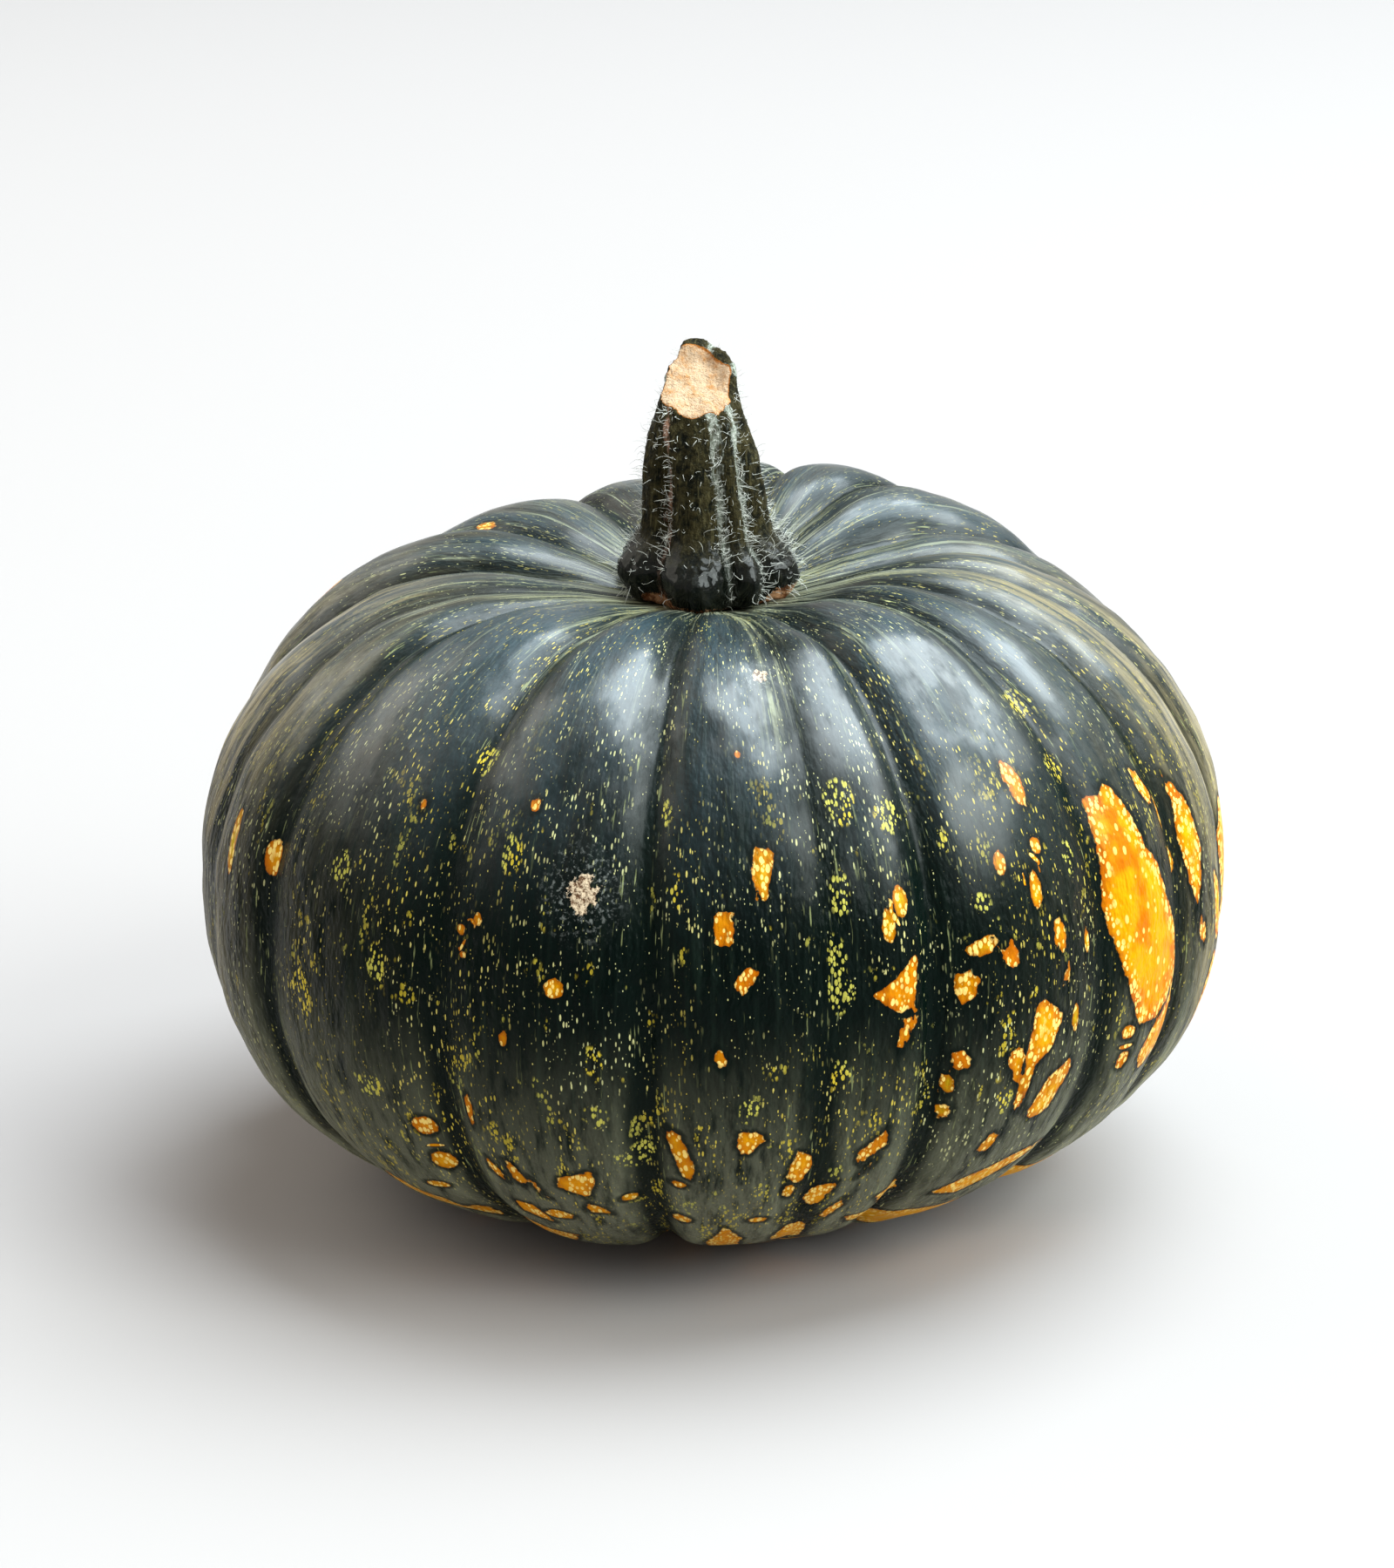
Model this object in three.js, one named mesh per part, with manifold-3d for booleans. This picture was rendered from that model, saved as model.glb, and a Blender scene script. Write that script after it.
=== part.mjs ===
// A kabocha-type pumpkin: a low, ribbed fruit with the cut stump of its stem.
// Millimetres, +Z up. The front faces -Y. Angles round the fruit start at the front and
// grow towards +X. The origin is on the surface it rests on, under the middle of its box.
import * as THREE from 'three';
import { mergeVertices } from 'three/addons/utils/BufferGeometryUtils.js';
import Module from 'manifold-3d';

const wasm = await Module();
wasm.setup();

// Fruit: the line that the crests of the ribs follow, from the blossom end to the stem.
const AXIS = { x: -0.9, y: 0.1 };        // the fruit's axis, off the middle of its box
const RIB_REACH = 92;                    // axis to the crest of a rib at the widest level
const WIDEST_LEVEL = 54.8;               // widest level above the surface it rests on
const SHOULDER = { rise: 68.7, fullness: 0.88, roundness: 0.875 };
const BELLY = { drop: 57, fullness: 0.935, roundness: 0.715 };
const STEM_HOLLOW = { depth: 19, spread: 33.7 };
const BLOSSOM_HOLLOW = { depth: 5.5, spread: 17 };
const BELLY_LEAN = { slope: 0.035, from: 30, to: 62 };   // it hangs lower on the left
const FRUIT_ROWS = 34;

// Grooves between the ribs: how deep each is, how far the shoulder lifts there, and how
// far the crest of the rib that follows it stands out.
const GROOVES = [
  { angle: -57.5, depth: 3.4, lift: -3.0, crest: 0.0 },
  { angle: -29.8, depth: 3.4, lift: -3.4, crest: 0.4 },
  { angle: -6.8, depth: 3.2, lift: -3.2, crest: 0.2 },
  { angle: 12, depth: 1.8, lift: -2.6, crest: -0.2 },
  { angle: 24.3, depth: 3.2, lift: -2.1, crest: 0.3 },
  { angle: 47.5, depth: 2.8, lift: -0.8, crest: 0.2 },
  { angle: 63.8, depth: 2.6, lift: -0.8, crest: 1.1 },
  { angle: 82, depth: 2.6, lift: -1.3, crest: 1.2 },
  { angle: 99, depth: 2.8, lift: -2.6, crest: 0.0 },
  { angle: 117, depth: 4.2, lift: 0.5, crest: 1.0 },
  { angle: 139, depth: 3.0, lift: 6.2, crest: 0.6 },
  { angle: 163, depth: 3.6, lift: 6.4, crest: 0.2 },
  { angle: 186, depth: 3.2, lift: 3.4, crest: 0.0 },
  { angle: 208, depth: 3.8, lift: 1.1, crest: -0.2 },
  { angle: 240, depth: 4.2, lift: 0.4, crest: 0.8 },
  { angle: 264, depth: 4.4, lift: -3.4, crest: -0.3 },
  { angle: 286, depth: 2.2, lift: -3.8, crest: -0.1 },
];
const STEPS_PER_RIB = 6;
const RIB_BREADTH = 2.4;                 // above 2, a rib is broad and its groove narrow
const GROOVE_START = 8;                  // grooves begin this far from the axis
const GROOVE_FULL = { above: 46, below: 74 };   // and are at full depth this far out
const LIFT_FULL = 40;                    // the lift is full this far out

// Stem: outline as height above the hollow's floor against radius, foot to cut.
const STEM_FLOOR = 49.7;                 // hollow's floor above the widest level
const STEM_OUTLINE = [
  [-7, 9.5], [-2.5, 12.4], [2, 14.4], [5, 15.8], [8, 16.4], [11, 14.6], [14, 12.2],
  [22, 11.2], [30, 9.9], [36, 7.9], [40, 7.1], [50, 6.8],
];
const STEM_GROOVES = [-39.5, 16.7, 43, 95, 150, 210, 265].map((angle) => ({ angle }));
const STEPS_PER_STEM_RIB = 8;
const STEM_ROWS = 20;
const STEM_GROOVE_DEPTH = { foot: 3.6, shaft: 1.5 };
const STEM_LEAN = { x: -3.6, y: 0.6 };   // how far the cut end stands from the foot
const CUT = { height: 40.2, slope: 0.66 };    // the cut faces the front and looks up
const FOOT_GAP = 0.3;                    // kept between the stem's foot and the fruit

const radians = THREE.MathUtils.degToRad;
const smoothstep = THREE.MathUtils.smoothstep;

// Crest line of the ribs: latitude is 90 degrees at the stem, -90 at the blossom end.
function crestPoint(latitude) {
  const side = latitude >= 0 ? SHOULDER : BELLY;
  const out = Math.max(Math.cos(latitude), 0);
  const up = Math.abs(Math.sin(latitude));
  const radius = RIB_REACH * out ** side.roundness;
  const hollow = latitude >= 0 ? STEM_HOLLOW : BLOSSOM_HOLLOW;
  const reach = (latitude >= 0 ? side.rise : side.drop) * up ** side.fullness;
  const height = reach - hollow.depth * Math.exp(-((radius / hollow.spread) ** 2));
  return new THREE.Vector2(radius, latitude >= 0 ? height : -height);
}

function crestNormal(latitude) {
  const step = 0.01;
  const below = crestPoint(Math.max(latitude - step, -Math.PI / 2));
  const above = crestPoint(Math.min(latitude + step, Math.PI / 2));
  const along = above.sub(below).normalize();
  return new THREE.Vector2(along.y, -along.x);
}

// Where a column of points stands: its angle, the grooves on both sides of its rib, and
// its share of the way from one to the other.
function columnPlace(grooves, column, steps) {
  const index = Math.floor(column / steps) % grooves.length;
  const share = (column % steps) / steps;
  const before = grooves[index];
  const after = grooves[(index + 1) % grooves.length];
  const width = (after.angle - before.angle + 360) % 360;
  return { before, after, share, angle: radians(before.angle + share * width) };
}

function ribBulge(share) {
  return 1 - Math.abs(2 * share - 1) ** RIB_BREADTH;
}

function fruitPoint(column, latitude) {
  const { before, after, share, angle } = columnPlace(GROOVES, column, STEPS_PER_RIB);
  const crest = crestPoint(latitude);
  const normal = crestNormal(latitude);
  const full = latitude >= 0 ? GROOVE_FULL.above : GROOVE_FULL.below;
  const strength = smoothstep(crest.x, GROOVE_START, full);
  const depth = before.depth * (1 - share) + after.depth * share;
  const bulge = ribBulge(share);
  const shift = strength * (before.crest * bulge - depth * (1 - bulge));
  const radius = Math.max(crest.x + normal.x * shift, 0);
  const x = radius * Math.sin(angle);
  const y = -radius * Math.cos(angle);
  const lift = before.lift * (1 - share) + after.lift * share;
  const rise = latitude >= 0
    ? lift * Math.sin(latitude) * smoothstep(radius, GROOVE_START, LIFT_FULL)
    : BELLY_LEAN.slope * x * smoothstep(radius, BELLY_LEAN.from, BELLY_LEAN.to)
      * -Math.sin(latitude);
  const z = WIDEST_LEVEL + crest.y + normal.y * shift + rise;
  return [AXIS.x + x, AXIS.y + y, Math.max(z, 0)];
}

// Merged vertices and no empty triangles, so that the surface is one closed body.
function closedSurface(geometry) {
  geometry.deleteAttribute('normal');
  geometry.deleteAttribute('uv');
  const merged = mergeVertices(geometry, 1e-4);
  const corners = merged.index.array;
  const kept = [];
  for (let i = 0; i < corners.length; i += 3) {
    const [a, b, c] = corners.slice(i, i + 3);
    if (a !== b && b !== c && c !== a) kept.push(a, b, c);
  }
  merged.setIndex(kept);
  merged.computeVertexNormals();
  return merged;
}

function fruitGeometry() {
  const latitudes = [];
  for (let row = 0; row <= FRUIT_ROWS; row++) {
    latitudes.push(Math.PI * (row / FRUIT_ROWS - 0.5));
  }
  const columns = GROOVES.length * STEPS_PER_RIB;
  const geometry = new THREE.LatheGeometry(latitudes.map(crestPoint), columns);
  const points = geometry.attributes.position;
  for (let column = 0; column <= columns; column++) {
    latitudes.forEach((latitude, row) => {
      const pole = row === 0 || row === FRUIT_ROWS;
      const spot = fruitPoint(pole ? 0 : column % columns, latitude);
      points.setXYZ(column * latitudes.length + row, ...spot);
    });
  }
  return closedSurface(geometry);
}

// Stem: a ribbed shaft whose ribs end in knobs round the foot.
const stemOutline = new THREE.SplineCurve(
  STEM_OUTLINE.map(([height, radius]) => new THREE.Vector2(height, radius)));
const STEM_BOTTOM = STEM_OUTLINE[0][0];
const STEM_TOP = STEM_OUTLINE.at(-1)[0];

function stemRadius(height) {
  let low = 0;
  let high = 1;
  for (let pass = 0; pass < 24; pass++) {
    const middle = (low + high) / 2;
    if (stemOutline.getPoint(middle).x < height) low = middle;
    else high = middle;
  }
  return stemOutline.getPoint(low).y;
}

function stemPoint(column, level, reach) {
  const { share, angle } = columnPlace(STEM_GROOVES, column, STEPS_PER_STEM_RIB);
  const cutRadius = stemRadius(CUT.height) - STEM_GROOVE_DEPTH.shaft * (1 - ribBulge(share));
  const cutHeight = CUT.height - CUT.slope * reach * cutRadius * Math.cos(angle);
  const height = STEM_BOTTOM + level * (cutHeight - STEM_BOTTOM);
  const shaft = smoothstep(height, 3, 14);
  const groove = STEM_GROOVE_DEPTH.foot * (1 - shaft) + STEM_GROOVE_DEPTH.shaft * shaft;
  const radius = reach * (stemRadius(height) - groove * (1 - ribBulge(share)));
  const bend = (Math.max(height, 0) / STEM_TOP) ** 1.5;
  return [
    AXIS.x + radius * Math.sin(angle) + STEM_LEAN.x * bend,
    AXIS.y - radius * Math.cos(angle) + STEM_LEAN.y * bend,
    WIDEST_LEVEL + STEM_FLOOR + height,
  ];
}

function stemGeometry() {
  const columns = STEM_GROOVES.length * STEPS_PER_STEM_RIB;
  const geometry = new THREE.CylinderGeometry(1, 1, 1, columns, STEM_ROWS);
  const points = geometry.attributes.position;
  for (let i = 0; i < points.count; i++) {
    const [x, y, z] = [points.getX(i), points.getY(i), points.getZ(i)];
    const turn = (Math.atan2(x, z) / (2 * Math.PI) + 1) % 1;
    const column = Math.round(turn * columns) % columns;
    points.setXYZ(i, ...stemPoint(column, y + 0.5, Math.round(Math.hypot(x, z))));
  }
  return closedSurface(geometry);
}

function solidOf(geometry) {
  return new wasm.Manifold(new wasm.Mesh({
    numProp: 3,
    vertProperties: geometry.attributes.position.array,
    triVerts: new Uint32Array(geometry.index.array),
  }));
}

function geometryOf(solid) {
  const { vertProperties, triVerts } = solid.getMesh();
  const geometry = new THREE.BufferGeometry();
  geometry.setAttribute('position', new THREE.Float32BufferAttribute(vertProperties, 3));
  geometry.setIndex([...triVerts]);
  geometry.computeVertexNormals();
  return geometry;
}

// The foot is fitted to the hollow that it grows from.
function fittedStem(stem, fruit) {
  const raisedFruit = solidOf(fruit).translate([0, 0, FOOT_GAP]);
  return geometryOf(solidOf(stem).subtract(raisedFruit));
}

function part(name, geometry, colour, roughness) {
  const material = new THREE.MeshStandardMaterial({ color: colour, roughness, metalness: 0 });
  const mesh = new THREE.Mesh(geometry, material);
  mesh.name = name;
  return mesh;
}

const fruit = fruitGeometry();
const group = new THREE.Group();
group.add(part('fruit', fruit, 0x22332e, 0.4));
group.add(part('stem', fittedStem(stemGeometry(), fruit), 0x2c3424, 0.6));

export default group;
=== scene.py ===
import math
import random

import bpy
import numpy as np
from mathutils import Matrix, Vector
from mathutils.bvhtree import BVHTree


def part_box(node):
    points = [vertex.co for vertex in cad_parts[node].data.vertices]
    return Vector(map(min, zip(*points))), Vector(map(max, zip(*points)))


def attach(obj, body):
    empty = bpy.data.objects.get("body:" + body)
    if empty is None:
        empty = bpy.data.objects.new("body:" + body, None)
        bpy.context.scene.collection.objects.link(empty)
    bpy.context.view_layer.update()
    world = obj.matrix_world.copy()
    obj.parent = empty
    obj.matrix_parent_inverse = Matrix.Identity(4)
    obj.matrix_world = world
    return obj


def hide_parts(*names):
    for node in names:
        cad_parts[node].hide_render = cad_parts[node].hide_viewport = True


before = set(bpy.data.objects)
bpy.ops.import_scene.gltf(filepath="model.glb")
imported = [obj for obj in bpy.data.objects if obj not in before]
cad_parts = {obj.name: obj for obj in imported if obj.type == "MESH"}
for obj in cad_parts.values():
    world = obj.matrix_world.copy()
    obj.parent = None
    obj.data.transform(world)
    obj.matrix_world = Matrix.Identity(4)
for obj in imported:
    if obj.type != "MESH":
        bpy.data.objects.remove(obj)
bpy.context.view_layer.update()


# ---------------------------------------------------------------------------------------
# The studio. A pale floor under one wide softbox overhead, with weaker ones at the sides.
# The camera stands before the pumpkin, a little above it, as a person at a table would.

MIDDLE = Vector((-0.0009, 0.0001, 0.0548))     # on the fruit's axis, at its widest level
VIEW_AWAY = 0.8
VIEW_RISE = math.radians(19)
SENSOR_SIDE = 36.0
FOCAL_LENGTH = 101.2
FRAMING = (-0.0079, 0.0532)                    # shares of the frame's longer side

camera_data = bpy.data.cameras.new("camera")
camera_data.sensor_width = SENSOR_SIDE
camera_data.lens = FOCAL_LENGTH
camera_data.shift_x, camera_data.shift_y = FRAMING
camera = bpy.data.objects.new("camera", camera_data)
camera.location = MIDDLE + VIEW_AWAY * Vector((0, -math.cos(VIEW_RISE), math.sin(VIEW_RISE)))
camera.rotation_euler = (math.pi / 2 - VIEW_RISE, 0, 0)
bpy.context.scene.collection.objects.link(camera)
bpy.context.scene.camera = camera
bpy.context.scene.view_settings.view_transform = "Standard"


def softbox(name, place, size, watts, colour):
    lamp = bpy.data.lights.new(name, "AREA")
    lamp.shape = "RECTANGLE"
    lamp.size, lamp.size_y = size
    lamp.energy = watts
    lamp.color = colour
    holder = bpy.data.objects.new(name, lamp)
    holder.location = place
    holder.rotation_euler = (MIDDLE - Vector(place)).to_track_quat("-Z", "Y").to_euler()
    bpy.context.scene.collection.objects.link(holder)


softbox("overhead_light", (1.25, 1.0, 3.4), (3.2, 3.2), 300, (0.83, 0.95, 1.0))
softbox("right_light", (1.62, 0.06, 1.5), (2.4, 1.1), 18, (0.92, 1.0, 0.98))
softbox("front_light", (1.3, -0.85, 1.15), (1.0, 1.1), 30, (0.9, 1.0, 0.98))
softbox("left_light", (-1.5, 0.6, 1.3), (2.2, 1.3), 14, (1.0, 0.96, 0.84))

world = bpy.data.worlds.new("studio_air")
world.use_nodes = True
air = world.node_tree.nodes["Background"]
air.inputs["Color"].default_value = (0.99, 0.965, 0.92, 1)
air.inputs["Strength"].default_value = 0.46
bpy.context.scene.world = world

bpy.ops.object.select_all(action="DESELECT")
bpy.ops.mesh.primitive_plane_add(size=16, location=(0, 0, 0))
floor = bpy.context.object
floor.name = "floor"
paper = bpy.data.materials.new("pale_paper")
paper.use_nodes = True
paper_surface = paper.node_tree.nodes["Principled BSDF"]
paper_surface.inputs["Base Color"].default_value = (0.394, 0.364, 0.361, 1)
paper_surface.inputs["Roughness"].default_value = 0.9
floor.data.materials.append(paper)


# ---------------------------------------------------------------------------------------
# The fruit. One waxy, dark green rind over broad ribs, dusted with pale specks and marked
# with orange flecks where the rind has ripened. The CAD solid gives its ribs; here they
# are smoothed, and every point learns where on the rind it lies.

WIDEST_REACH = 0.092                           # axis to rind at the widest level


class Wire:
    """An output of a node. Arithmetic on wires adds the Math nodes that it stands for."""

    def __init__(self, finish, socket):
        self.finish, self.socket = finish, socket

    def _math(self, operation, first, second):
        return self.finish.node("ShaderNodeMath", {"operation": operation}, [first, second])

    def __add__(self, other):
        return self._math("ADD", self, other)

    def __sub__(self, other):
        return self._math("SUBTRACT", self, other)

    def __rsub__(self, other):
        return self._math("SUBTRACT", other, self)

    def __mul__(self, other):
        return self._math("MULTIPLY", self, other)

    def __pow__(self, other):
        return self._math("POWER", self, other)

    __radd__ = __add__
    __rmul__ = __mul__


class Finish:
    """A material in the making."""

    def __init__(self, name):
        self.material = bpy.data.materials.new(name)
        self.material.use_nodes = True
        self.tree = self.material.node_tree
        self.surface = self.tree.nodes["Principled BSDF"]

    def node(self, kind, settings, inputs, output=0):
        made = self.tree.nodes.new(kind)
        for setting, value in settings.items():
            setattr(made, setting, value)
        pairs = inputs.items() if isinstance(inputs, dict) else enumerate(inputs)
        for key, value in pairs:
            self.join(value, made.inputs[key])
        return Wire(self, made.outputs[output])

    def join(self, value, socket):
        if isinstance(value, Wire):
            self.tree.links.new(value.socket, socket)
        elif value is not None:
            socket.default_value = value

    def attribute(self, name, output="Fac"):
        return self.node("ShaderNodeAttribute", {"attribute_name": name}, {}, output)

    def stretched(self, vector, factors):
        return self.node("ShaderNodeVectorMath", {"operation": "MULTIPLY"}, [vector, factors])

    def noise(self, vector, size, detail=3.0, roughness=0.5):
        """Cloudy noise from 0 to 1, with lumps of the given size in metres."""
        inputs = {"Vector": vector, "Scale": 1 / size, "Detail": detail, "Roughness": roughness}
        return self.node("ShaderNodeTexNoise", {}, inputs, "Fac")

    def step(self, value, low, high):
        """Rises smoothly from 0 at low to 1 at high, or falls where low is the larger."""
        inputs = {"Value": value, "From Min": low, "From Max": high}
        return self.node("ShaderNodeMapRange", {"interpolation_type": "SMOOTHSTEP"}, inputs)

    def blend(self, share, first, second):
        settings = {"data_type": "RGBA"}
        return self.node("ShaderNodeMix", settings, {0: share, 6: first, 7: second}, 2)

    def specks(self, vector, size, largest, share):
        """Round specks, one to a cell, each with a reach of its own, up to largest cells.
        Only the given share of the cells have one; above 1, none of them is small."""
        settings = {"feature": "F1"}
        cells = self.node("ShaderNodeTexVoronoi", settings, {"Vector": vector, "Scale": 1 / size})
        colour = Wire(self, cells.socket.node.outputs["Color"])
        luck = self.node("ShaderNodeSeparateColor", {}, {"Color": colour}, "Red")
        reach = (luck - (1 - share)) * (largest / share)
        return self.step(reach - cells, 0.0, 0.1)

    def bump(self, height, distance, strength=1.0, under=None):
        inputs = {"Strength": strength, "Distance": distance, "Height": height, "Normal": under}
        return self.node("ShaderNodeBump", {}, inputs, "Normal")

    def wear(self, **sockets):
        for name, value in sockets.items():
            self.join(value, self.surface.inputs[name.replace("_", " ")])


def colour(red, green, blue):
    return (red, green, blue, 1.0)


def alone(piece):
    bpy.ops.object.select_all(action="DESELECT")
    piece.select_set(True)
    bpy.context.view_layer.objects.active = piece


def add_modifier(piece, kind, **settings):
    """Adds a modifier and applies it."""
    modifier = piece.modifiers.new(kind.lower(), kind)
    for setting, value in settings.items():
        setattr(modifier, setting, value)
    alone(piece)
    bpy.ops.object.modifier_apply(modifier=modifier.name)


def closed_copy(node, name):
    """A copy of a CAD solid, with its loose triangles joined up."""
    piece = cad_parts[node].copy()
    piece.data = piece.data.copy()
    piece.name = name
    bpy.context.scene.collection.objects.link(piece)
    piece.parent = None
    piece.data.materials.clear()
    alone(piece)
    bpy.ops.object.mode_set(mode="EDIT")
    bpy.ops.mesh.select_all(action="SELECT")
    bpy.ops.mesh.remove_doubles(threshold=0.00001)
    bpy.ops.mesh.tris_convert_to_quads(face_threshold=math.pi, shape_threshold=math.pi)
    bpy.ops.object.mode_set(mode="OBJECT")
    return piece


rind = closed_copy("fruit", "rind")
add_modifier(rind, "SUBSURF", levels=2, render_levels=2)

# Slow swellings, as no rib grows quite even: the size of their lumps and how high.
for lump, swell in ((0.03, 0.0015), (0.009, 0.0006)):
    swelling = bpy.data.textures.new("swelling", "CLOUDS")
    swelling.noise_scale = lump
    swelling.noise_depth = 1
    add_modifier(rind, "DISPLACE", texture=swelling, strength=swell, mid_level=0.5,
                 texture_coords="LOCAL")
bpy.ops.object.shade_smooth()


def points_of(piece):
    places = np.empty(len(piece.data.vertices) * 3)
    piece.data.vertices.foreach_get("co", places)
    return places.reshape(-1, 3)


def give(piece, name, values):
    """Stores a number, or a vector, for each point of a piece."""
    kind, field = ("FLOAT", "value") if values.ndim == 1 else ("FLOAT_VECTOR", "vector")
    layer = piece.data.attributes.new(name, kind, "POINT")
    layer.data.foreach_set(field, values.astype(np.float32).ravel())


# Where each point lies: its angle round the fruit from the front, its angle above the
# widest level, and how far it is from the stem, measured down the rind.
place = points_of(rind) - np.array(MIDDLE)
out = np.hypot(place[:, 0], place[:, 1])
around = np.degrees(np.arctan2(place[:, 0], -place[:, 1]))
height = np.degrees(np.arctan2(place[:, 2], out))
BAND = 3                                       # degrees from one level to the next
levels = np.arange(-90, 91, BAND)
nearest = np.clip(np.round((height + 90) / BAND).astype(int), 0, len(levels) - 1)
reach = np.hypot(out, place[:, 2])
on_level = np.maximum(np.bincount(nearest, minlength=len(levels)), 1)
mean_reach = np.bincount(nearest, reach, len(levels)) / on_level
slope = np.gradient(mean_reach, np.radians(levels))
pace = np.hypot(mean_reach, slope)             # metres down the rind for each radian
travel = np.concatenate([[0], np.cumsum((pace[1:] + pace[:-1]) / 2 * math.radians(BAND))])
down = travel[-1] - np.interp(height, levels, travel)
turn = np.radians(around)
lay = np.stack([WIDEST_REACH * np.sin(turn), -WIDEST_REACH * np.cos(turn), down], axis=1)
give(rind, "lay", lay)
give(rind, "height", height)


def ramp(values, low, high):
    """From 0 at low smoothly up to 1 at high, or down where low is the larger."""
    share = np.clip((values - low) / (high - low), 0, 1)
    return share * share * (3 - 2 * share)


def gap_to(angles, values):
    """Degrees from each value to the nearest of the angles."""
    return np.abs(np.mod(values[:, None] - np.array(angles) + 180, 360) - 180).min(axis=1)


# Grooves between the ribs, by the angle round the fruit, and how sharply each is drawn in.
GROOVES = {
    -57.5: 0.7, -29.8: 0.7, -6.8: 0.9, 12: 0.1, 24.3: 1.0, 47.5: 0.6, 63.8: 0.5, 82: 0.5,
    99: 0.6, 117: 0.9, 139: 0.6, 163: 0.7, 186: 0.6, 208: 0.8, 240: 0.9, 264: 1.0, 286: 0.3,
}
groove = np.radians(gap_to(list(GROOVES), around)) * out * 1000
give(rind, "groove", groove)

# Each rib is filled out towards its grooves. Along its bottom a sharp groove is drawn in,
# and a soft one is filled.
RIB_FILL = 0.0014
GROOVE_PULL = 0.0008
ordered = sorted((angle % 360, sharp) for angle, sharp in GROOVES.items())
ordered = np.array([(ordered[-1][0] - 360, ordered[-1][1])] + ordered
                   + [(ordered[0][0] + 360, ordered[0][1])])
turned = np.mod(around, 360)
rib = np.searchsorted(ordered[:, 0], turned) - 1
rib_share = (turned - ordered[rib, 0]) / (ordered[rib + 1, 0] - ordered[rib, 0])
sharp = np.where(rib_share < 0.5, ordered[rib, 1], ordered[rib + 1, 1])
off_crest = np.abs(2 * rib_share - 1)
filled = RIB_FILL * (off_crest ** 2.4 - off_crest ** 6)
drawn_in = GROOVE_PULL * (sharp * np.exp(-(groove / 3) ** 2) - (1 - sharp) * off_crest ** 4)
normals = np.empty(len(place) * 3)
rind.data.vertices.foreach_get("normal", normals)
shift = (filled - drawn_in) * ramp(out, 0.014, 0.042)
fuller = points_of(rind) + normals.reshape(-1, 3) * shift[:, None]
fuller[:, 2] = np.maximum(fuller[:, 2], 0)     # flat where it rests
rind.data.vertices.foreach_set("co", fuller.ravel())

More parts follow.
